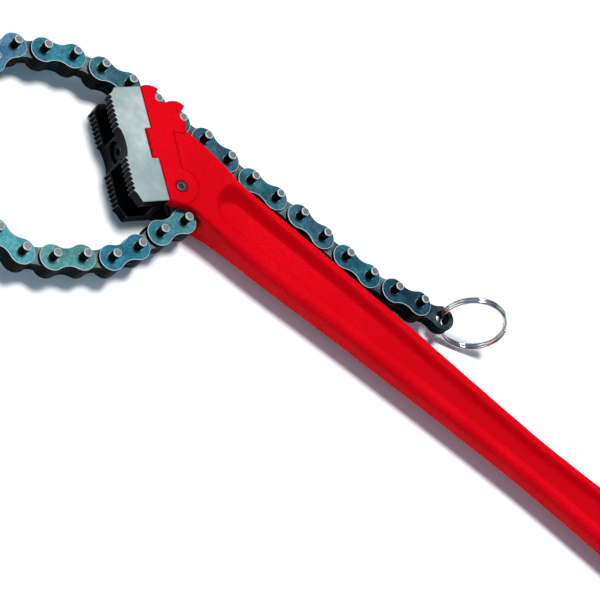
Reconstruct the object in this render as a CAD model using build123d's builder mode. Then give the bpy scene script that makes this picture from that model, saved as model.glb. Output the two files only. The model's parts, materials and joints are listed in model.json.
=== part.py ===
# Light chain pipe wrench: forged handle, keyed gripping jaw and a leaf chain with a pull ring.
# Millimetres.  +X runs along the handle from head to grip, +Z is up, Z = 0 is the middle of
# the thickness, and the origin is the centre of the hang hole in the grip end.
import os
from math import atan2, cos, degrees, radians, sin, sqrt

from build123d import *

# ---- sizes that drive everything -------------------------------------------------------
PITCH = 12.7                   # half-inch chain
HEAD_HALF = 10.7               # half thickness of the cheeks and the jaw
PAD_STEP = 0.35                # the machined pad stands this far above the forging
SLOT_HALF = 5.1                # half width of the slots the chain runs in
GRIP_END_R = 12.7              # rounded grip end, round the hang hole
HANG_HOLE_R = 5.5
ANCHOR = (-304.8, -11.1)       # anchor rivet, twelve inches ahead of the hang hole
HOOK_PIN = (-28.1, 27.3)       # pin seat of the first hook, from the anchor
SEAT_R = 2.05                  # pin seats under the hooks
FORGING_HALF = HEAD_HALF - PAD_STEP
JAW_ANGLE = 137.0              # the jaw's back face, against the handle's axis
JAW_MIDDLE = (-18.9, 7.95)     # middle of the back face, from the anchor
JAW_HALF = 24.9                # half length of the jaw
JAW_DEPTH = 15.0               # back face to tooth tips
KEY_HALF = 6.4                 # half width of the key between jaw and handle
KEY_DEPTH = 2.5
WEB_HALF = 2.8                 # half thickness of the handle's web
SHANK_HALF = 5.8               # half thickness of the shank at the grip

PLATE = 1.75                   # chain plate thickness
PLATE_GAP = 0.12
PLATE_STEP = PLATE + PLATE_GAP
LOBE_R = 5.5                   # round ends of a chain plate
WAIST_R = 7.2                  # hollows at its middle
PIN_R = 1.8
PIN_HALF = 9.9                 # half length of a chain pin
RUNNING = 0.08                 # radial clearance of the inner plates on their pins
RIVET_R = 2.35
END_HOLE_R = 3.0
WIRE_R = 0.75
RING_R = 14.0                  # to the middle of the wire
RING_STEP = 1.56               # one turn of the ring to the next

OUTER_LEVELS = (-2 * PLATE_STEP, 0, 2 * PLATE_STEP)
INNER_LEVELS = (-PLATE_STEP, PLATE_STEP)

# which way each link points, degrees from the handle's axis, from the anchor rivet on
LOOP_HEADINGS = (-41, -114, -109, -117, -138, -138, -149, -178, 176, 162, 144, 122, 102)
TOP_HEADINGS = (77, 36, 32, 19, 12, 3)                 # up to the first hook's pin
TAIL_HEADINGS = (2, 6, -2, -1, 5, 3, -3, -2, 1, 11, 15, 14)   # from it to the pull ring


def step_from(point, heading, length=PITCH):
    return (
        point[0] + length * cos(radians(heading)),
        point[1] + length * sin(radians(heading)),
    )


def chain_pins():
    """Pin centres from the anchor rivet (0) to the pull ring's hole (33)."""
    loop = [(0.0, 0.0)]
    for heading in LOOP_HEADINGS:
        loop.append(step_from(loop[-1], heading))
    top = [HOOK_PIN]
    for heading in reversed(TOP_HEADINGS):
        top.insert(0, step_from(top[0], heading, -PITCH))
    tail = [HOOK_PIN]
    for heading in TAIL_HEADINGS:
        tail.append(step_from(tail[-1], heading))
    # the last two links of the loop close it
    (ax, ay), (bx, by) = loop[-1], top[0]
    half = sqrt((bx - ax) ** 2 + (by - ay) ** 2) / 2
    rise = sqrt(PITCH**2 - half**2)
    across = atan2(by - ay, bx - ax)
    middle = ((ax + bx) / 2 - rise * sin(across), (ay + by) / 2 + rise * cos(across))
    return loop + [middle] + top + tail[1:]


PINS = chain_pins()
HEAD = Plane(origin=(ANCHOR[0], ANCHOR[1], 0))
jaw_turn = radians(JAW_ANGLE)
# in the jaw's own frame +X runs along its back face towards the hooks, +Y to the pipe
JAW = Plane(
    origin=(ANCHOR[0] + JAW_MIDDLE[0], ANCHOR[1] + JAW_MIDDLE[1], 0),
    x_dir=(cos(jaw_turn), sin(jaw_turn), 0),
    z_dir=(0, 0, 1),
)


def on_head(x, y):
    """A point of the jaw's frame, measured from the anchor."""
    return (
        JAW_MIDDLE[0] + x * cos(jaw_turn) - y * sin(jaw_turn),
        JAW_MIDDLE[1] + x * sin(jaw_turn) + y * cos(jaw_turn),
    )


SEAT_1 = PINS[21]
SEAT_2 = PINS[22]
JAW_TOP = on_head(JAW_HALF, 0)
JAW_FOOT = on_head(-JAW_HALF, 0)

# the screw that holds the jaw: along the jaw's +Y, head in the bridge between the pockets
SCREW_X = 1.2
SCREW_R = 2.5
SCREW_HEAD_R = 4.2
COUNTERBORE_R = 4.4
SCREW_LENGTH = 20.0
SEAT_Y = 7.5                   # the head seats this far in front of the jaw's back face


def along_jaw(y):
    x0, y0 = on_head(SCREW_X, y)
    return Plane(
        origin=(ANCHOR[0] + x0, ANCHOR[1] + y0, 0),
        x_dir=(0, 0, 1),
        z_dir=(-sin(jaw_turn), cos(jaw_turn), 0),
    )


screw_bore = along_jaw(SEAT_Y - SCREW_LENGTH).location
screw_seat = along_jaw(SEAT_Y).location
socket_plane = along_jaw(SEAT_Y + 4.0)
JAW_AXIS = Axis((0, 0, 0), (-sin(jaw_turn), cos(jaw_turn), 0))

parts = []


def keep(part, name):
    part.label = name
    parts.append(part)
    return part


# ---- handle ----------------------------------------------------------------------------
def hook_edge():
    """The cheek's edge from the jaw's top corner over both hooks to the handle's back."""
    wall_1 = SEAT_1[0] - SEAT_R
    wall_2 = SEAT_2[0] - SEAT_R
    tip_1 = (wall_1 - 0.1, 29.9)
    tip_2 = (wall_2 - 0.2, 31.8)
    rim_1 = (SEAT_1[0] + SEAT_R * cos(radians(-30)), SEAT_1[1] + SEAT_R * sin(radians(-30)))
    rim_2 = (SEAT_2[0] + SEAT_R * cos(radians(-30)), SEAT_2[1] + SEAT_R * sin(radians(-30)))
    ThreePointArc(JAW_TOP, (-34.9, 28.2), tip_1)
    Line(tip_1, (wall_1, SEAT_1[1]))
    ThreePointArc((wall_1, SEAT_1[1]), (SEAT_1[0], SEAT_1[1] - SEAT_R), rim_1)
    Line(rim_1, (-24.9, 27.0))
    ThreePointArc((-24.9, 27.0), (-22.3, 30.6), tip_2)
    Line(tip_2, (wall_2, SEAT_2[1]))
    ThreePointArc((wall_2, SEAT_2[1]), (SEAT_2[0], SEAT_2[1] - SEAT_R), rim_2)
    Line(rim_2, (-11.6, 23.0))


def jaw_seat():
    """The cheek's front edge with its key, from the jaw's foot to its top corner."""
    Polyline(
        JAW_FOOT,
        on_head(-KEY_HALF, 0),
        on_head(-KEY_HALF, KEY_DEPTH),
        on_head(KEY_HALF, KEY_DEPTH),
        on_head(KEY_HALF, 0),
        JAW_TOP,
    )


grip_x = -ANCHOR[0]
grip_y = -ANCHOR[1]
with BuildPart() as handle:
    with BuildSketch(HEAD):
        with BuildLine():
            jaw_seat()
            hook_edge()
            Spline(
                (-11.6, 23.0),
                (10, 22.3),
                (40, 22.9),
                (80, 23.0),
                (120, 22.4),
                (160, 21.2),
                (188, 20.6),
                (210, 21.0),
                (240, 22.3),
                (275, 23.6),
                (grip_x, grip_y + GRIP_END_R),
                tangents=((1, -0.04), (1, 0)),
            )
            ThreePointArc(
                (grip_x, grip_y + GRIP_END_R),
                (grip_x + GRIP_END_R, grip_y),
                (grip_x, grip_y - GRIP_END_R),
            )
            Spline(
                (grip_x, grip_y - GRIP_END_R),
                (275, -1.5),
                (240, -0.8),
                (210, 0.2),
                (188, 0.5),
                (160, 0.1),
                (120, -1.0),
                (80, -2.3),
                (40, -3.7),
                (16, -3.8),
                tangents=((-1, 0), (-1, -0.06)),
            )
            Line((16, -3.8), (8.5, -4.2))
            Line((8.5, -4.2), JAW_FOOT)
        make_face()
    extrude(amount=20, both=True)
    # seen from the side: thick head, thinner shank
    with BuildSketch(Plane(origin=(ANCHOR[0], ANCHOR[1], 0), x_dir=(1, 0, 0), z_dir=(0, -1, 0))):
        with BuildLine():
            Line((-60, -FORGING_HALF), (-60, FORGING_HALF))
            for side in (1, -1):
                Line((-60, side * FORGING_HALF), (3, side * FORGING_HALF))
                Spline(
                    (3, side * FORGING_HALF),
                    (11, side * 9.7),
                    (18, side * 8.3),
                    (32, side * 7.1),
                    (60, side * 6.5),
                    (120, side * 6.1),
                    (180, side * SHANK_HALF),
                    tangents=((1, 0), (1, 0)),
                )
                Line((180, side * SHANK_HALF), (330, side * SHANK_HALF))
            Line((330, -SHANK_HALF), (330, SHANK_HALF))
        make_face()
    extrude(amount=60, both=True, mode=Mode.INTERSECT)
    # machined pad: hooks, jaw seat and the boss round the anchor rivet
    with BuildSketch(HEAD):
        with BuildLine():
            jaw_seat()
            hook_edge()
            Line((-11.6, 23.0), (-12.2, 20.6))
            Line((-12.2, 20.6), (-15.9, 18.2))
            Line((-15.9, 18.2), (-4.2, 6.4))
            ThreePointArc((-4.2, 6.4), (7.6, 0.6), (4.6, -6.1))
            Line((4.6, -6.1), JAW_FOOT)
        make_face()
    extrude(amount=HEAD_HALF, both=True)
    # hollow on each side that leaves an I section
    for side in (1, -1):
        hollow_floor = Plane(
            origin=(ANCHOR[0], ANCHOR[1], side * WEB_HALF), x_dir=(1, 0, 0), z_dir=(0, 0, side)
        )
        with BuildSketch(hollow_floor):
            with BuildLine():
                Polyline(
                    (24, side * 6.0),
                    (80, side * 6.3),
                    (188, side * 7.4),
                    (272, side * 5.4),
                )
                ThreePointArc((272, side * 5.4), (277.6, side * 11.1), (272, side * 16.8))
                Polyline(
                    (272, side * 16.8),
                    (188, side * 13.6),
                    (80, side * 15.6),
                    (24, side * 15.6),
                )
                ThreePointArc((24, side * 15.6), (19.2, side * 10.8), (24, side * 6.0))
            make_face()
        extrude(amount=9, taper=-40, mode=Mode.SUBTRACT)
    with Locations((0, 0, 0)):
        Cylinder(HANG_HOLE_R, 30, mode=Mode.SUBTRACT)
    # slot the chain lies in under the hooks
    with BuildSketch(HEAD):
        with BuildLine():
            Polyline((-52, 20.7), (-12.6, 20.7))
            ThreePointArc((-12.6, 20.7), (-10.0, 21.9), (-9.0, 24.6))
            Polyline((-9.0, 24.6), (-9.0, 40), (-52, 40), (-52, 20.7))
        make_face()
    extrude(amount=SLOT_HALF, both=True, mode=Mode.SUBTRACT)
    # slot the anchored link swings in, open to the jaw's back and downwards
    with BuildSketch(HEAD):
        with BuildLine():
            Line((15.2, -2.9), (3.64, 5.02))
            ThreePointArc((3.64, 5.02), (-0.6, 6.2), (-4.4, 4.4))
            Polyline((-4.4, 4.4), (-12.2, -4.0), (-4.0, -22), (15.2, -22), (15.2, -2.9))
        make_face()
    extrude(amount=SLOT_HALF, both=True, mode=Mode.SUBTRACT)
    # bores for the anchor rivet and the jaw's screw
    with Locations((ANCHOR[0], ANCHOR[1], 0)):
        Cylinder(RIVET_R, 40, mode=Mode.SUBTRACT)
    with Locations(screw_bore):
        Cylinder(SCREW_R, SCREW_LENGTH, align=(Align.CENTER, Align.CENTER, Align.MIN), mode=Mode.SUBTRACT)
keep(handle.part, "handle")

# ---- jaw ---------------------------------------------------------------------------------
TEETH = 8
TOOTH_PITCH = 2.0
TOOTH_DEPTH = 1.3
TOOTH_LEAN = 0.74              # the tips lean this far along each tooth, towards the hooks
LOWER_TEETH_X = -20.9          # first tooth of the lower row, from the jaw's middle
UPPER_TEETH_X = 6.6            # first tooth of the upper row


def tooth_row(start):
    points = []
    for tooth in range(TEETH):
        points.append((start + tooth * TOOTH_PITCH, JAW_DEPTH - TOOTH_DEPTH))
        points.append((start + (tooth + TOOTH_LEAN) * TOOTH_PITCH, JAW_DEPTH))
    points.append((start + TEETH * TOOTH_PITCH, JAW_DEPTH - TOOTH_DEPTH))
    return points


with BuildPart() as jaw:
    with BuildSketch(JAW):
        lower = tooth_row(LOWER_TEETH_X)
        upper = tooth_row(UPPER_TEETH_X)
        with BuildLine():
            Polyline(
                (-KEY_HALF - 0.05, 0),
                (-JAW_HALF, 0),
                (-JAW_HALF, 12.0),
                lower[0],
            )
            Polyline(*lower)
            ThreePointArc(lower[-1], (0.9, 12.9), upper[0])
            Polyline(*upper)
            Polyline(
                upper[-1],
                (JAW_HALF, 11.8),
                (JAW_HALF, 0),
                (KEY_HALF + 0.05, 0),
                (KEY_HALF + 0.05, KEY_DEPTH + 0.4),
                (-KEY_HALF - 0.05, KEY_DEPTH + 0.4),
                (-KEY_HALF - 0.05, 0),
            )
        make_face()
    extrude(amount=HEAD_HALF, both=True)
    # pockets between the two toothed sides
    with BuildSketch(JAW):
        with Locations((22.2, 12.0)):
            RectangleRounded(31.6, 16.0, 2.0)
        with Locations((-20.5, 12.0)):
            RectangleRounded(31.2, 16.0, 2.0)
    extrude(amount=SLOT_HALF, both=True, mode=Mode.SUBTRACT)
    # raised lip along the bridge's lower edge
    with BuildSketch(JAW):
        with Locations((LOWER_TEETH_X + TEETH * TOOTH_PITCH + 0.2, JAW_DEPTH - 2.2)):
            RectangleRounded(1.5, 3.6, 0.7)
    extrude(amount=SLOT_HALF, both=True)
    # the chain passes over the jaw's top corner
    with BuildSketch(HEAD):
        with Locations((-52, 20.7)):
            Rectangle(40, 12, align=(Align.MIN, Align.MIN))
    extrude(amount=SLOT_HALF, both=True, mode=Mode.SUBTRACT)
    with Locations(screw_bore):
        Cylinder(SCREW_R, SCREW_LENGTH, align=(Align.CENTER, Align.CENTER, Align.MIN), mode=Mode.SUBTRACT)
    with Locations(screw_seat):
        Cylinder(COUNTERBORE_R, 12, align=(Align.CENTER, Align.CENTER, Align.MIN), mode=Mode.SUBTRACT)
keep(jaw.part, "jaw")

with BuildPart() as jaw_screw:
    with Locations(screw_seat):
        Cylinder(SCREW_HEAD_R, 4.0, align=(Align.CENTER, Align.CENTER, Align.MIN))
    chamfer(jaw_screw.faces().sort_by(JAW_AXIS)[-1].edges(), 0.4)
    with Locations(screw_bore):
        Cylinder(SCREW_R, SCREW_LENGTH, align=(Align.CENTER, Align.CENTER, Align.MIN))
    with BuildSketch(socket_plane):
        RegularPolygon(1.7, 6)
    extrude(amount=-2.2, mode=Mode.SUBTRACT)
keep(jaw_screw.part, "jaw_screw")

# ---- chain -------------------------------------------------------------------------------
def link_place(link):
    """Middle of a link, turned so that its own +X points from its lower pin to its higher."""
    (ax, ay), (bx, by) = PINS[link - 1], PINS[link]
    turn = degrees(atan2(by - ay, bx - ax))
    return Location((ANCHOR[0] + (ax + bx) / 2, ANCHOR[1] + (ay + by) / 2, 0), (0, 0, turn))


def plates(levels, near_r, far_r):
    """Figure-eight plates, one on each level, bored for the pins of both ends."""
    with BuildPart() as stack:
        for level in levels:
            with BuildSketch(Plane.XY.offset(level - PLATE / 2)):
                with Locations((-PITCH / 2, 0), (PITCH / 2, 0)):
                    Circle(LOBE_R)
                shoulder_x = PITCH / 2 * WAIST_R / (LOBE_R + WAIST_R)
                waist_y = sqrt((LOBE_R + WAIST_R) ** 2 - (PITCH / 2) ** 2)
                shoulder_y = waist_y * LOBE_R / (LOBE_R + WAIST_R)
                Rectangle(2 * shoulder_x, 2 * shoulder_y)
                with Locations((0, waist_y), (0, -waist_y)):
                    Circle(WAIST_R, mode=Mode.SUBTRACT)
                with Locations((-PITCH / 2, 0)):
                    Circle(near_r, mode=Mode.SUBTRACT)
                with Locations((PITCH / 2, 0)):
                    Circle(far_r, mode=Mode.SUBTRACT)
            extrude(amount=PLATE)
    return stack.part


def pin(x, low=-PIN_HALF, high=PIN_HALF):
    """A plain pin with a small chamfer on each outer end."""
    with BuildPart() as body:
        with Locations((x, 0, low)):
            Cylinder(PIN_R, high - low, align=(Align.CENTER, Align.CENTER, Align.MIN))
        ends = body.edges().filter_by(GeomType.CIRCLE)
        chamfer([e for e in ends if abs(abs(e.center().Z) - PIN_HALF) < 0.01], 0.35)
    return body.part


outer_plates = plates(OUTER_LEVELS, PIN_R, PIN_R)
inner_plates = plates(INNER_LEVELS, PIN_R + RUNNING, PIN_R + RUNNING)
anchor_plates = plates(INNER_LEVELS, RIVET_R + RUNNING, PIN_R + RUNNING)
end_plates = plates(INNER_LEVELS, PIN_R + RUNNING, END_HOLE_R)
near_pin = pin(-PITCH / 2)
far_pin = pin(PITCH / 2)
# the loop's one open pivot, at its far side: short studs outside the inner plates
OPEN_LINK = 12
stud_low = PLATE_STEP * 2 - PLATE / 2
open_studs = [pin(-PITCH / 2, stud_low, PIN_HALF), pin(-PITCH / 2, -PIN_HALF, -stud_low)]

LINKS = len(PINS) - 1
for link in range(1, LINKS + 1):
    place = link_place(link)
    if link == 1:
        keep(place * anchor_plates, "anchor_link")
    elif link == LINKS:
        keep(place * end_plates, "end_link")
    elif link % 2:
        keep(place * inner_plates, f"inner_link_{link:02d}")
    else:
        keep(place * outer_plates, f"outer_link_{link:02d}")
        studs = open_studs if link == OPEN_LINK else [near_pin]
        keep(Compound(children=[place * one for one in studs + [far_pin]]), f"pins_{link:02d}")

with BuildPart() as rivet:
    with Locations((ANCHOR[0], ANCHOR[1], 0)):
        Cylinder(RIVET_R, 2 * HEAD_HALF)
keep(rivet.part, "anchor_rivet")

# ---- pull ring ---------------------------------------------------------------------------
RING_AXIS = Vector(0.353, -0.899, 0.259).normalized()
RING_LEANS = Vector(0.821, 0.465, 0.314)       # from the hole towards the ring's middle
hole = Vector(ANCHOR[0] + PINS[-1][0], ANCHOR[1] + PINS[-1][1], 0)
leans = (RING_LEANS - RING_AXIS * RING_LEANS.dot(RING_AXIS)).normalized()
ring_plane = Plane(origin=hole + leans * RING_R, x_dir=leans, z_dir=RING_AXIS)
with BuildPart() as pull_ring:
    with BuildLine():
        coil = Helix(RING_STEP, 2 * RING_STEP, RING_R)
    with BuildSketch(Plane(origin=coil @ 0, z_dir=coil % 0)):
        Circle(WIRE_R)
    sweep()
ring_place = ring_plane.offset(-RING_STEP).location
keep(ring_place * pull_ring.part, "pull_ring")

os.makedirs("parts", exist_ok=True)
for one in parts:
    export_step(one, f"parts/{one.label}.step")
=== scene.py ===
# A chain pipe wrench lying on a pale floor.  Metres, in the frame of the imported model:
# +X runs from the head to the grip, +Z is up through the thickness.
import json
import math

import bpy
import numpy as np
from mathutils import Matrix, Vector


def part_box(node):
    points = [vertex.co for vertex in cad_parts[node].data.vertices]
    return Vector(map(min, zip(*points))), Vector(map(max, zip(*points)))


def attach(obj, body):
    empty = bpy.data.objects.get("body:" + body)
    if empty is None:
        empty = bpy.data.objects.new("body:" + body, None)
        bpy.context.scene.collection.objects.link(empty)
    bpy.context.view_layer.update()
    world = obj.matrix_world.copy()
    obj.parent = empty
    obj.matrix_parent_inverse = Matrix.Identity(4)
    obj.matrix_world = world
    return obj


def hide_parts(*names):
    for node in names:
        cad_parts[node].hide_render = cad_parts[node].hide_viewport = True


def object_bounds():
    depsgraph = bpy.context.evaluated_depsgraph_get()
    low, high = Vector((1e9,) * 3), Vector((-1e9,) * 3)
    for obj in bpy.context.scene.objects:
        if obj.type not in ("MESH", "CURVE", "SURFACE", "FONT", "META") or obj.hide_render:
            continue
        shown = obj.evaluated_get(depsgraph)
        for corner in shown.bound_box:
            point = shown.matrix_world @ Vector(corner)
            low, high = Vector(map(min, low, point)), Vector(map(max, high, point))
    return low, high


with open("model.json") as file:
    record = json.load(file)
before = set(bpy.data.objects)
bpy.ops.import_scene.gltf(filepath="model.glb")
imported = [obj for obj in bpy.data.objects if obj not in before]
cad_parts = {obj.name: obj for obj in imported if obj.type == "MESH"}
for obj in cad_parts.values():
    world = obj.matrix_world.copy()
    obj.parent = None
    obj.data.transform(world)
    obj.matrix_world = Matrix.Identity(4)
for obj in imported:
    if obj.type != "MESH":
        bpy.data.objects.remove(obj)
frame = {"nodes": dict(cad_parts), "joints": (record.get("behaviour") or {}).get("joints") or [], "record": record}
cad_low, cad_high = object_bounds()
nodes = frame["nodes"]
joints = {joint["name"]: joint for joint in frame["joints"]}
mounts = {mount["name"]: mount for mount in frame["record"]["mounts"]}
anchor = Vector(joints["anchor_pivot"]["pos_m"])
grip = Vector(mounts["hang_hole"]["pos_m"])
head_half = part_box("jaw")[1].z
MM = 0.001

# ---- camera, floor and light -----------------------------------------------------------
LENS_MM = 146.2
SENSOR_MM = 36
CAMERA_FROM_ANCHOR = Vector((-0.10515, -0.55971, 0.80128))
VIEW_RIGHT = Vector((0.76169, 0.44200, 0.47378))
VIEW_BACK = Vector((-0.17429, -0.56450, 0.80682))
FLOOR_SIZE = 6
SKY = (0.40, 0.67, 1.0, 1)
SKY_STRENGTH = 0.25

camera_data = bpy.data.cameras.new("camera")
camera_data.lens = LENS_MM
camera_data.sensor_width = SENSOR_MM
camera = bpy.data.objects.new("camera", camera_data)
bpy.context.scene.collection.objects.link(camera)
bpy.context.scene.camera = camera
view_up = VIEW_BACK.cross(VIEW_RIGHT)
camera.matrix_world = Matrix.Translation(anchor + CAMERA_FROM_ANCHOR) @ (
    Matrix((VIEW_RIGHT, view_up, VIEW_BACK)).transposed().to_4x4()
)
bpy.context.scene.view_settings.view_transform = "Standard"

middle = (cad_low + cad_high) / 2
bpy.ops.mesh.primitive_plane_add(size=FLOOR_SIZE, location=(middle.x, middle.y, cad_low.z))
floor = bpy.context.object
floor.name = "floor"


def area_light(name, offset, size, power, colour):
    """A square lamp at an offset from the object's middle, turned towards it."""
    light = bpy.data.lights.new(name, "AREA")
    light.size = size
    light.energy = power
    light.color = colour
    lamp = bpy.data.objects.new(name, light)
    bpy.context.scene.collection.objects.link(lamp)
    lamp.location = middle + Vector(offset)
    lamp.rotation_euler = (-Vector(offset)).to_track_quat("-Z", "Y").to_euler()


area_light("key", (-0.33, 0.98, 4.02), 0.9, 188, (1.0, 0.975, 0.95))
area_light("back", (0.9, 0.9, 0.5), 0.6, 2.5, (0.97, 0.99, 1.0))
area_light("front", (-0.5, -1.0, 0.35), 0.8, 3.8, (0.90, 0.97, 1.0))
world = bpy.data.worlds.new("studio")
world.use_nodes = True
background = world.node_tree.nodes["Background"]
background.inputs["Color"].default_value = SKY
background.inputs["Strength"].default_value = SKY_STRENGTH
bpy.context.scene.world = world


# ---- materials -------------------------------------------------------------------------
DARK_RED_AND_SHADE = (0.47, 0.001, 0.005)       # darker red: random grain in the paint, and painted shade on the hollow's wall and floor
# painted shadow in the head's slots
SLOT_SHADOW_BLACK = (0.010, 0.006, 0.006)
# painted shadow on the lower cheek under the jaw's foot
CHEEK_SHADOW_BLACK = (0.012, 0.001, 0.002)
SPECK_RED = (0.44, 0.001, 0.004)
# painted shade in the step round the machined pad
STEP_SHADE_RED = (0.42, 0.001, 0.004)
JAW_STAIN = (0.22, 0.31, 0.30)
JAW_GRAIN = (0.16, 0.20, 0.20)
# painted highlight on the jaw's sharp edges
EDGE_HIGHLIGHT = (0.17, 0.18, 0.19)
# rubbed bright rim of the outermost plates, lightened further as a painted highlight
RUBBED_RIM_AND_HIGHLIGHT = (0.60, 0.72, 0.72)


class Surface:
    """A Principled material and short ways to feed it from nodes."""

    def __init__(self, name, colour, roughness, metallic=0.0):
        self.material = bpy.data.materials.new(name)
        self.material.use_nodes = True
        self.tree = self.material.node_tree
        self.shader = self.tree.nodes["Principled BSDF"]
        self.shader.inputs["Base Color"].default_value = (*colour, 1)
        self.shader.inputs["Roughness"].default_value = roughness
        self.shader.inputs["Metallic"].default_value = metallic
        self.place = self.node("ShaderNodeTexCoord").outputs["Object"]

    def node(self, kind, **settings):
        made = self.tree.nodes.new(kind)
        for key, value in settings.items():
            setattr(made, key, value)
        return made

    def feed(self, socket, value):
        if isinstance(value, bpy.types.NodeSocket):
            self.tree.links.new(value, socket)
        else:
            socket.default_value = value

    def math(self, operation, a, b=0.0, clamp=False):
        made = self.node("ShaderNodeMath", operation=operation, use_clamp=clamp)
        self.feed(made.inputs[0], a)
        self.feed(made.inputs[1], b)
        return made.outputs[0]

    def all_of(self, first, *others):
        """Several masks multiplied together."""
        for other in others:
            first = self.math("MULTIPLY", first, other)
        return first

    def part_of(self, vector, axis):
        made = self.node("ShaderNodeSeparateXYZ")
        self.feed(made.inputs[0], vector)
        return made.outputs[axis]

    def stretched(self, turn_degrees, scales):
        made = self.node("ShaderNodeMapping")
        self.feed(made.inputs["Vector"], self.place)
        made.inputs["Rotation"].default_value = (0, 0, math.radians(turn_degrees))
        made.inputs["Scale"].default_value = scales
        return made.outputs[0]

    def noise(self, per_metre, detail=3.0, roughness=0.5, place=None):
        made = self.node("ShaderNodeTexNoise")
        self.feed(made.inputs["Vector"], place or self.place)
        made.inputs["Scale"].default_value = per_metre
        made.inputs["Detail"].default_value = detail
        made.inputs["Roughness"].default_value = roughness
        return made.outputs["Fac"]

    def spread(self, value, low, high, to_low=0.0, to_high=1.0):
        """Smoothly from to_low at low to to_high at high; low may be the larger of the two."""
        made = self.node("ShaderNodeMapRange", interpolation_type="SMOOTHSTEP")
        self.feed(made.inputs["Value"], value)
        made.inputs["From Min"].default_value = low
        made.inputs["From Max"].default_value = high
        made.inputs["To Min"].default_value = to_low
        made.inputs["To Max"].default_value = to_high
        return made.outputs[0]

    def mix(self, share, a, b):
        made = self.node("ShaderNodeMix", data_type="RGBA")
        self.feed(made.inputs["Factor"], share)
        self.feed(made.inputs["A"], a if isinstance(a, bpy.types.NodeSocket) else (*a, 1))
        self.feed(made.inputs["B"], b if isinstance(b, bpy.types.NodeSocket) else (*b, 1))
        return made.outputs["Result"]

    def bump(self, *layers):
        """Each layer is a height from 0 to 1 and the depth in metres that it stands for."""
        normal = None
        for height, depth in layers:
            made = self.node("ShaderNodeBump")
            made.inputs["Strength"].default_value = 1.0
            made.inputs["Distance"].default_value = depth
            self.feed(made.inputs["Height"], height)
            if normal is not None:
                self.feed(made.inputs["Normal"], normal)
            normal = made.outputs[0]
        self.feed(self.shader.inputs["Normal"], normal)

    def upness(self):
        """How far the mesh faces straight up or down: 1 on flats, 0 on side walls."""
        normal = self.node("ShaderNodeTexCoord").outputs["Normal"]
        return self.math("ABSOLUTE", self.part_of(normal, 2))

    def off_middle(self):
        """Distance up or down from the middle of the tool's thickness."""
        return self.math("ABSOLUTE", self.part_of(self.place, 2))

    def colour(self, value):
        self.feed(self.shader.inputs["Base Color"], value)

    def rough(self, value):
        self.feed(self.shader.inputs["Roughness"], value)


def red_paint():
    paint = Surface("red_paint", (0.62, 0.002, 0.009), 0.42)
    along = paint.math("SUBTRACT", paint.part_of(paint.place, 0), anchor.x)
    sideways = paint.math("SUBTRACT", paint.part_of(paint.place, 1), anchor.y)
    below = paint.math("MULTIPLY", paint.part_of(paint.place, 2), -1.0)
    height = paint.off_middle()

    patches = paint.spread(paint.noise(28, 4), 0.3, 0.7)
    tone = paint.mix(patches, (0.60, 0.001, 0.006), (0.71, 0.002, 0.009))
    grain = paint.spread(paint.noise(1300, 2, 0.6), 0.36, 0.64)
    tone = paint.mix(paint.math("MULTIPLY", grain, 0.6), tone, DARK_RED_AND_SHADE)
    tone = paint.mix(paint.spread(paint.noise(520, 2), 0.67, 0.78), tone, SPECK_RED)

    # painted shade: the hollow's wall nearer the chain is painted darker
    facing = paint.node("ShaderNodeTexCoord").outputs["Normal"]
    to_grip = paint.math("MULTIPLY", paint.part_of(facing, 0), 0.5)
    from_chain = paint.math("SUBTRACT", to_grip, paint.part_of(facing, 1))
    chain_wall_shade = paint.all_of(
        paint.spread(from_chain, 0.2, 0.5),
        paint.spread(sideways, 9.0 * MM, 11.0 * MM),
    )
    tone = paint.mix(chain_wall_shade, tone, DARK_RED_AND_SHADE)
    # painted shade on its floor too, darker and darker towards the grip
    hollow_floor_shade = paint.all_of(
        paint.spread(height, 4.6 * MM, 3.8 * MM),
        paint.spread(paint.upness(), 0.85, 0.95),
        paint.spread(along, 60 * MM, 160 * MM),
    )
    tone = paint.mix(hollow_floor_shade, tone, DARK_RED_AND_SHADE)
    # painted shadow: the slots at the head are painted black inside
    slot_shadow = paint.all_of(
        paint.spread(height, 5.6 * MM, 5.3 * MM),
        paint.spread(along, 9.0 * MM, 8.0 * MM),
    )
    tone = paint.mix(slot_shadow, tone, SLOT_SHADOW_BLACK)
    # painted shadow: the side of the lower cheek, under the jaw's foot, is painted black too
    foot_shadow = paint.all_of(
        paint.spread(below, 4.6 * MM, 5.2 * MM),
        paint.spread(below, 10.4 * MM, 10.0 * MM),
        paint.spread(along, 6.5 * MM, 4.0 * MM),
        paint.spread(sideways, -2.5 * MM, -3.5 * MM),
    )
    tone = paint.mix(foot_shadow, tone, CHEEK_SHADOW_BLACK)
    # painted shade: a darker red line in the step round the machined pad
    step_shade = paint.all_of(
        paint.spread(height, head_half - 0.335 * MM, head_half - 0.27 * MM),
        paint.spread(height, head_half - 0.04 * MM, head_half - 0.10 * MM),
    )
    paint.colour(paint.mix(step_shade, tone, STEP_SHADE_RED))

    paint.rough(paint.spread(paint.noise(160, 4), 0.3, 0.7, 0.36, 0.50))
    paint.shader.inputs["Specular IOR Level"].default_value = 0.03
    paint.shader.inputs["Specular Tint"].default_value = (1.0, 0.16, 0.16, 1)
    paint.bump((paint.noise(90, 3), 0.28 * MM), (paint.noise(620, 3, 0.6), 0.23 * MM))
    return paint.material


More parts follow.
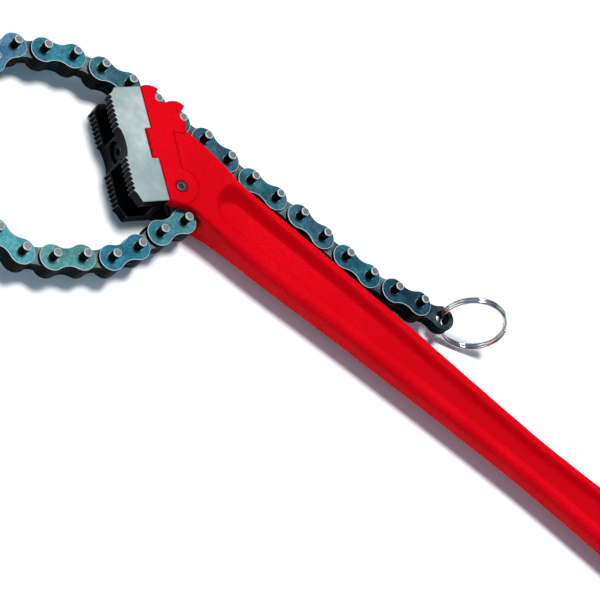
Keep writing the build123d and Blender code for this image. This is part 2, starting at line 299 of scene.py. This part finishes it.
def jaw_steel():
    steel = Surface("jaw_steel", (0.5, 0.54, 0.52), 0.3)
    ground = steel.spread(steel.off_middle(), head_half - 0.20 * MM, head_half - 0.08 * MM)
    stain = steel.spread(steel.noise(38, 4, 0.55), 0.32, 0.68)
    streaks = steel.noise(900, 3, 0.6, steel.stretched(-137, (0.04, 1, 1)))
    lines = steel.spread(streaks, 0.3, 0.7)
    bright = steel.mix(lines, (0.43, 0.47, 0.46), (0.48, 0.52, 0.51))
    face = steel.mix(stain, bright, JAW_STAIN)
    grain = steel.spread(steel.noise(420, 4, 0.65), 0.35, 0.65)
    face = steel.mix(steel.math("MULTIPLY", grain, 0.22), face, JAW_GRAIN)
    oxide = steel.mix(steel.noise(300, 4), (0.002, 0.002, 0.003), (0.007, 0.006, 0.007))
    # painted highlight: the sharp edges of the black oxide are painted lighter
    sharp = steel.node("ShaderNodeNewGeometry").outputs["Pointiness"]
    oxide = steel.mix(steel.spread(sharp, 0.515, 0.58, 0.0, 0.9), oxide, EDGE_HIGHLIGHT)
    steel.colour(steel.mix(ground, oxide, face))
    steel.feed(steel.shader.inputs["Metallic"], steel.math("MULTIPLY", ground, 0.12))
    steel.shader.inputs["Specular IOR Level"].default_value = 0.035
    steel.rough(steel.mix(ground, (0.22,) * 3, (0.5,) * 3))
    steel.bump((streaks, 0.012 * MM), (steel.noise(700, 3), 0.03 * MM))
    return steel.material


def black_oxide():
    oxide = Surface("black_oxide", (0.005, 0.005, 0.006), 0.4)
    oxide.shader.inputs["Specular IOR Level"].default_value = 0.08
    oxide.colour(oxide.mix(oxide.noise(400, 3), (0.003, 0.003, 0.003), (0.010, 0.010, 0.011)))
    oxide.rough(oxide.spread(oxide.noise(300, 3), 0.3, 0.7, 0.26, 0.4))
    oxide.bump((oxide.noise(900, 2), 0.02 * MM))
    return oxide.material


def plate_steel(name, dark, light):
    """Heat-coloured plate: mottled face, side walls painted near-black as painted shade, the outermost with a
    rubbed rim lightened as a painted highlight.
    """
    plate = Surface(name, light, 0.4, 0.3)
    plate.shader.inputs["Specular IOR Level"].default_value = 0.03
    mottle = plate.spread(plate.noise(140, 5, 0.6), 0.36, 0.64)
    face = plate.mix(mottle, dark, light)
    grain = plate.spread(plate.noise(650, 3, 0.6), 0.38, 0.66)
    face = plate.mix(plate.math("MULTIPLY", grain, 0.48), face, tuple(0.40 * c for c in dark))
    up = plate.upness()
    # rubbed bright rim on the outermost plates, with a painted highlight on it
    rim_and_highlight = plate.all_of(
        plate.spread(up, 0.99, 0.93),
        plate.spread(up, 0.25, 0.6),
        plate.spread(plate.off_middle(), 3.8 * MM, 4.2 * MM),
    )
    # painted shade: the plates' side walls are painted near-black
    side_shade = plate.spread(up, 0.98, 0.90)
    face_and_side_shade = plate.mix(side_shade, face, tuple(0.01 * c for c in light))
    plate.colour(plate.mix(rim_and_highlight, face_and_side_shade, RUBBED_RIM_AND_HIGHLIGHT))
    plate.feed(plate.shader.inputs["Metallic"], plate.spread(up, 0.5, 0.9, 0.0, 0.3))
    plate.rough(plate.spread(plate.noise(420, 4), 0.3, 0.7, 0.36, 0.50))
    plate.bump((plate.noise(500, 3), 0.02 * MM))
    return plate.material


def pin_steel():
    steel = Surface("pin_steel", (0.5, 0.52, 0.52), 0.35)
    up = steel.upness()
    end = steel.spread(up, 0.35, 0.6)
    flat = steel.spread(up, 0.93, 0.99)
    face = steel.mix(steel.noise(900, 2), (0.09, 0.10, 0.10), (0.17, 0.185, 0.185))
    # painted highlight: the chamfer round each pin end is painted light grey
    face = steel.mix(flat, (0.70, 0.73, 0.73), face)
    body = steel.mix(steel.noise(500, 2), (0.001, 0.001, 0.001), (0.004, 0.004, 0.005))
    steel.colour(steel.mix(end, body, face))
    steel.feed(steel.shader.inputs["Metallic"], steel.math("MULTIPLY", end, 0.4))
    steel.shader.inputs["Specular IOR Level"].default_value = 0.04
    steel.rough(steel.spread(steel.noise(600, 3), 0.3, 0.7, 0.30, 0.45))
    steel.bump((steel.noise(900, 3), 0.02 * MM))
    return steel.material


def rivet_steel():
    steel = Surface("rivet_steel", (0.10, 0.11, 0.12), 0.4, 0.6)
    steel.colour(steel.mix(steel.noise(700, 4, 0.6), (0.009, 0.010, 0.011), (0.036, 0.040, 0.043)))
    steel.rough(steel.spread(steel.noise(500, 3), 0.3, 0.7, 0.32, 0.52))
    steel.bump((steel.noise(900, 3), 0.03 * MM))
    return steel.material


def chrome():
    plated = Surface("chrome", (0.6, 0.62, 0.62), 0.2, 0.95)
    dull = plated.spread(plated.noise(110, 3), 0.38, 0.60)
    plated.colour(plated.mix(dull, (0.34, 0.37, 0.37), (0.74, 0.76, 0.75)))
    plated.rough(plated.spread(plated.noise(300, 3), 0.35, 0.7, 0.12, 0.22))
    plated.bump((plated.noise(120, 2), 0.004 * MM))
    return plated.material


def floor_paper():
    paper = Surface("floor_paper", (0.93, 0.93, 0.93), 0.8)
    paper.colour(paper.mix(paper.noise(40, 3), (0.92, 0.925, 0.93), (0.94, 0.94, 0.94)))
    return paper.material


def paint_with(piece, material):
    piece.data.materials.clear()
    piece.data.materials.append(material)


paint_with(floor, floor_paper())

# ---- chain -----------------------------------------------------------------------------
# heat colours, the dark and the light of each
TINTS = {
    "teal": ((0.029, 0.128, 0.155), (0.058, 0.200, 0.230)),
    "mint": ((0.045, 0.157, 0.151), (0.085, 0.247, 0.241)),
    "aqua": ((0.037, 0.165, 0.193), (0.069, 0.264, 0.297)),
    "blue": ((0.012, 0.078, 0.120), (0.026, 0.144, 0.216)),
    "violet": ((0.036, 0.106, 0.181), (0.085, 0.206, 0.316)),
    "dusk": ((0.017, 0.107, 0.143), (0.036, 0.191, 0.250)),
    "deep": ((0.022, 0.073, 0.094), (0.051, 0.152, 0.171)),
    "sea": ((0.021, 0.059, 0.093), (0.048, 0.132, 0.184)),
    "slate": ((0.015, 0.072, 0.098), (0.039, 0.156, 0.195)),
    "night": ((0.011, 0.070, 0.102), (0.030, 0.144, 0.204)),
    "navy": ((0.008, 0.032, 0.054), (0.021, 0.082, 0.120)),
    "steel": ((0.016, 0.030, 0.038), (0.050, 0.075, 0.090)),
    "bare": ((0.030, 0.055, 0.060), (0.13, 0.17, 0.18)),
}
# the outer links' colours, from the anchor on
OUTER_TINTS = (
    "teal", "blue", "mint", "aqua", "blue", "teal", "violet", "violet",
    "dusk", "deep", "slate", "sea", "slate", "sea", "night", "navy",
)
END_LINK = 33
LINK_NUMBERS = {"anchor_link": 1, "end_link": END_LINK}
LINK_EDGE = 0.30 * MM
PIN_EDGE = 0.08 * MM
SCREW_EDGE = 0.15 * MM
plate_looks = {name: plate_steel("plate_" + name, *pair) for name, pair in TINTS.items()}
pin_look = pin_steel()


def crisp(piece, width):
    """Rounds a CAD node's sharp edges a little, as punching and tumbling leave them."""
    weld = piece.modifiers.new("weld", "WELD")
    weld.merge_threshold = 1e-6
    flatten = piece.modifiers.new("flatten", "DECIMATE")
    flatten.decimate_type = "DISSOLVE"
    flatten.angle_limit = math.radians(0.6)
    edge = piece.modifiers.new("edge", "BEVEL")
    edge.width = width
    edge.segments = 3
    edge.limit_method = "ANGLE"
    edge.angle_limit = math.radians(35)
    even = piece.modifiers.new("even", "WEIGHTED_NORMAL")
    even.weight = 90
    for polygon in piece.data.polygons:
        polygon.use_smooth = True


for name, piece in nodes.items():
    if name.startswith("pins_"):
        crisp(piece, PIN_EDGE)
        paint_with(piece, pin_look)
    elif "_link" in name:
        crisp(piece, LINK_EDGE)
        number = LINK_NUMBERS.get(name) or int(name[-2:])
        if number == END_LINK:
            tint = "steel"
        elif number % 2:
            tint = "bare"
        else:
            tint = OUTER_TINTS[number // 2 - 1]
        paint_with(piece, plate_looks[tint])


# ---- handle and jaw --------------------------------------------------------------------
HANDLE_VOXEL = 0.6 * MM
JAW_VOXEL = 0.3 * MM
OPEN_CORNER = 3.8 * MM                 # corner radius of the shank
CHAIN_CORNER = 2.0 * MM                # and on the chain's side
CORNER_START = 14 * MM                 # from the anchor, where the rounding begins
CORNER_FADE = 24 * MM                  # and the length it takes to come in
STATION = 2 * MM


def softened(node, voxel, passes, softness, rounded=None):
    """A fine mesh of a node with its edges worn round; softness is 0 to 1 at each point."""
    copy = bpy.data.objects.new(node + "_skin", nodes[node].data.copy())
    bpy.context.scene.collection.objects.link(copy)
    remesh = copy.modifiers.new("remesh", "REMESH")
    remesh.mode = "VOXEL"
    remesh.voxel_size = voxel
    depsgraph = bpy.context.evaluated_depsgraph_get()
    mesh = bpy.data.meshes.new_from_object(copy.evaluated_get(depsgraph))
    copy.modifiers.clear()
    copy.data = mesh
    count = len(mesh.vertices)
    points = np.empty(count * 3, np.float32)
    mesh.vertices.foreach_get("co", points)
    points = points.reshape(-1, 3).astype(float)
    ends = np.empty(len(mesh.edges) * 2, np.int32)
    mesh.edges.foreach_get("vertices", ends)
    near = np.concatenate([ends[0::2], ends[1::2]])
    far = np.concatenate([ends[1::2], ends[0::2]])
    if rounded:
        points = rounded(points)
    share = 0.6 * softness(points)[:, None]
    degree = np.bincount(near, minlength=count)[:, None]
    for _ in range(passes):
        sums = [
            np.bincount(near, weights=points[far, axis], minlength=count) for axis in range(3)
        ]
        points += share * (np.stack(sums, axis=1) / degree - points)
    mesh.vertices.foreach_set("co", points.astype(np.float32).ravel())
    mesh.update()
    for polygon in mesh.polygons:
        polygon.use_smooth = True
    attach(copy, "head")
    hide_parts(node)
    return copy


def forging_softness(points):
    """Crisp on the machined pad and hooks, soft along the shank."""
    along = (points[:, 0] - anchor.x) / MM
    return np.clip((along - 4) / 16, 0.01, 1.0)


def round_shank(points):
    """Rolls the shank's outer edges over, as the forging has them."""
    stations = np.arange(anchor.x + 9 * MM, grip.x, STATION)
    places = np.digitize(points[:, 0], stations + MM)
    rows = [points[places == index] for index in range(len(stations))]
    low = np.interp(points[:, 0], stations, [row[:, 1].min() for row in rows])
    high = np.interp(points[:, 0], stations, [row[:, 1].max() for row in rows])
    half = np.interp(points[:, 0], stations, [row[:, 2].max() for row in rows])
    middle_y = points[:, 1] - grip.y
    end_radius = (rows[-1][:, 1].max() - rows[-1][:, 1].min()) / 2
    past = points[:, 0] > grip.x
    inward = np.minimum(points[:, 1] - low, high - points[:, 1])
    inward = np.where(past, end_radius - np.hypot(points[:, 0] - grip.x, middle_y), inward)
    down = half - np.abs(points[:, 2])
    chain_side = high - points[:, 1] < points[:, 1] - low
    radius = np.where(chain_side & ~past, CHAIN_CORNER, OPEN_CORNER)
    reach = np.hypot(radius - inward, radius - down)
    fade = np.clip((points[:, 0] - anchor.x - CORNER_START) / CORNER_FADE, 0, 1)
    corner = (inward < radius) & (down < radius) & (reach > radius) & (fade > 0)
    pull = np.where(corner, fade * (1 - radius / np.maximum(reach, radius)), 0)
    shift_in = pull * (radius - inward)
    shift_down = pull * (radius - down)
    moved = points.copy()
    moved[:, 2] -= np.sign(points[:, 2]) * shift_down
    outward = np.where(chain_side, 1.0, -1.0)
    distance = np.maximum(np.hypot(points[:, 0] - grip.x, middle_y), MM)
    moved[:, 0] -= np.where(past, shift_in * (points[:, 0] - grip.x) / distance, 0)
    moved[:, 1] -= np.where(past, shift_in * middle_y / distance, shift_in * outward)
    return moved


def jaw_softness(points):
    """Crisp on the toothed sides, soft in the pockets between them."""
    inside = np.abs(points[:, 2]) < 5.3 * MM
    return np.where(inside, 0.5, 0.04)


handle_skin = softened("handle", HANDLE_VOXEL, 15, forging_softness, round_shank)
paint_with(handle_skin, red_paint())
jaw_skin = softened("jaw", JAW_VOXEL, 8, jaw_softness)
paint_with(jaw_skin, jaw_steel())

# ---- screw, rivet and ring -------------------------------------------------------------
crisp(nodes["jaw_screw"], SCREW_EDGE)
paint_with(nodes["jaw_screw"], black_oxide())


def built(name, node, body, points, faces, material):
    """A smooth mesh piece in place of a CAD node."""
    mesh = bpy.data.meshes.new(name)
    mesh.from_pydata([tuple(point) for point in points], [], faces)
    mesh.validate()
    piece = bpy.data.objects.new(name, mesh)
    bpy.context.scene.collection.objects.link(piece)
    for polygon in mesh.polygons:
        polygon.use_smooth = True
    paint_with(piece, material)
    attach(piece, body)
    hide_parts(node)
    return piece


def tube_faces(rows, around):
    """Faces of a closed tube: rings of points one after the other, and a cap on each end."""
    faces = []
    for row in range(rows - 1):
        for turn in range(around):
            after = (turn + 1) % around
            faces.append(
                (row * around + turn, row * around + after,
                 (row + 1) * around + after, (row + 1) * around + turn)
            )
    last = (rows - 1) * around
    faces.append(tuple(reversed(range(around))))
    faces.append(tuple(range(last, last + around)))
    return faces


def rivet_points(around=64):
    """A turned rivet: radius and height from the middle of one dimpled end to the other."""
    rivet_low, rivet_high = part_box("anchor_rivet")
    radius = (rivet_high.x - rivet_low.x) / 2
    face = rivet_high.z
    end = (
        (0.02 * MM, -0.55 * MM), (0.35 * MM, -0.52 * MM), (0.62 * MM, -0.36 * MM),
        (0.82 * MM, -0.10 * MM), (0.98 * MM, -0.02 * MM), (1.2 * MM, 0.0),
        (radius - 0.5 * MM, 0.0), (radius - 0.22 * MM, -0.03 * MM),
        (radius - 0.06 * MM, -0.14 * MM), (radius, -0.34 * MM),
    )
    profile = [(out, face + rise) for out, rise in end]
    profile += [(out, -(face + rise)) for out, rise in reversed(end)]
    points = []
    for out, height in profile:
        for turn in range(around):
            angle = 2 * math.pi * turn / around
            x = anchor.x + out * math.cos(angle)
            y = anchor.y + out * math.sin(angle)
            points.append((x, y, height))
    return points, tube_faces(len(profile), around)


built("anchor_rivet_skin", "anchor_rivet", "head", *rivet_points(), rivet_steel())


# the wire is a little thinner than the CAD's, so that the two turns show apart
WIRE_SHARE = 0.88


def ring_points(steps=220, around=20):
    """Two turns of round wire on the CAD ring's own middle, plane and size."""
    hole = Vector(joints["ring_swing"]["pos_m"])
    ring_low, ring_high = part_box("pull_ring")
    centre = (ring_low + ring_high) / 2
    mesh = nodes["pull_ring"].data
    flat = np.empty(len(mesh.vertices) * 3, np.float32)
    mesh.vertices.foreach_get("co", flat)
    offsets = flat.reshape(-1, 3).astype(float) - np.array(centre)
    axis = Vector(np.linalg.svd(offsets, full_matrices=False)[2][2]).normalized()
    leans = centre - hole
    leans = (leans - axis * leans.dot(axis)).normalized()
    across = axis.cross(leans)
    heights = offsets @ np.array(axis)
    reaches = np.hypot(offsets @ np.array(leans), offsets @ np.array(across))
    wire = WIRE_SHARE * (reaches.max() - reaches.min()) / 2
    radius = (reaches.max() + reaches.min()) / 2
    rise = (heights.max() - heights.min()) / 2 - wire
    start = [(0.0, math.sin(a), -0.4 * wire * math.cos(a)) for a in (0.2, 0.8)]
    finish = [(1.0, math.sin(a), 0.4 * wire * math.cos(a)) for a in (0.8, 0.2)]
    points = []
    turns = [(n / steps, 1.0, 0.0) for n in range(steps + 1)]
    for share, size, beyond in start + turns + finish:
        angle = 4 * math.pi * share
        outward = leans * math.cos(angle) + across * math.sin(angle)
        along = across * math.cos(angle) - leans * math.sin(angle)
        middle_point = centre + outward * radius + axis * rise * (2 * share - 1) + along * beyond
        for turn in range(around):
            spin = 2 * math.pi * turn / around
            reach = (outward * math.cos(spin) + axis * math.sin(spin)) * wire * size
            points.append(middle_point + reach)
    return points, tube_faces(len(points) // around, around)


built("pull_ring_wire", "pull_ring", "pull_ring", *ring_points(), chrome())
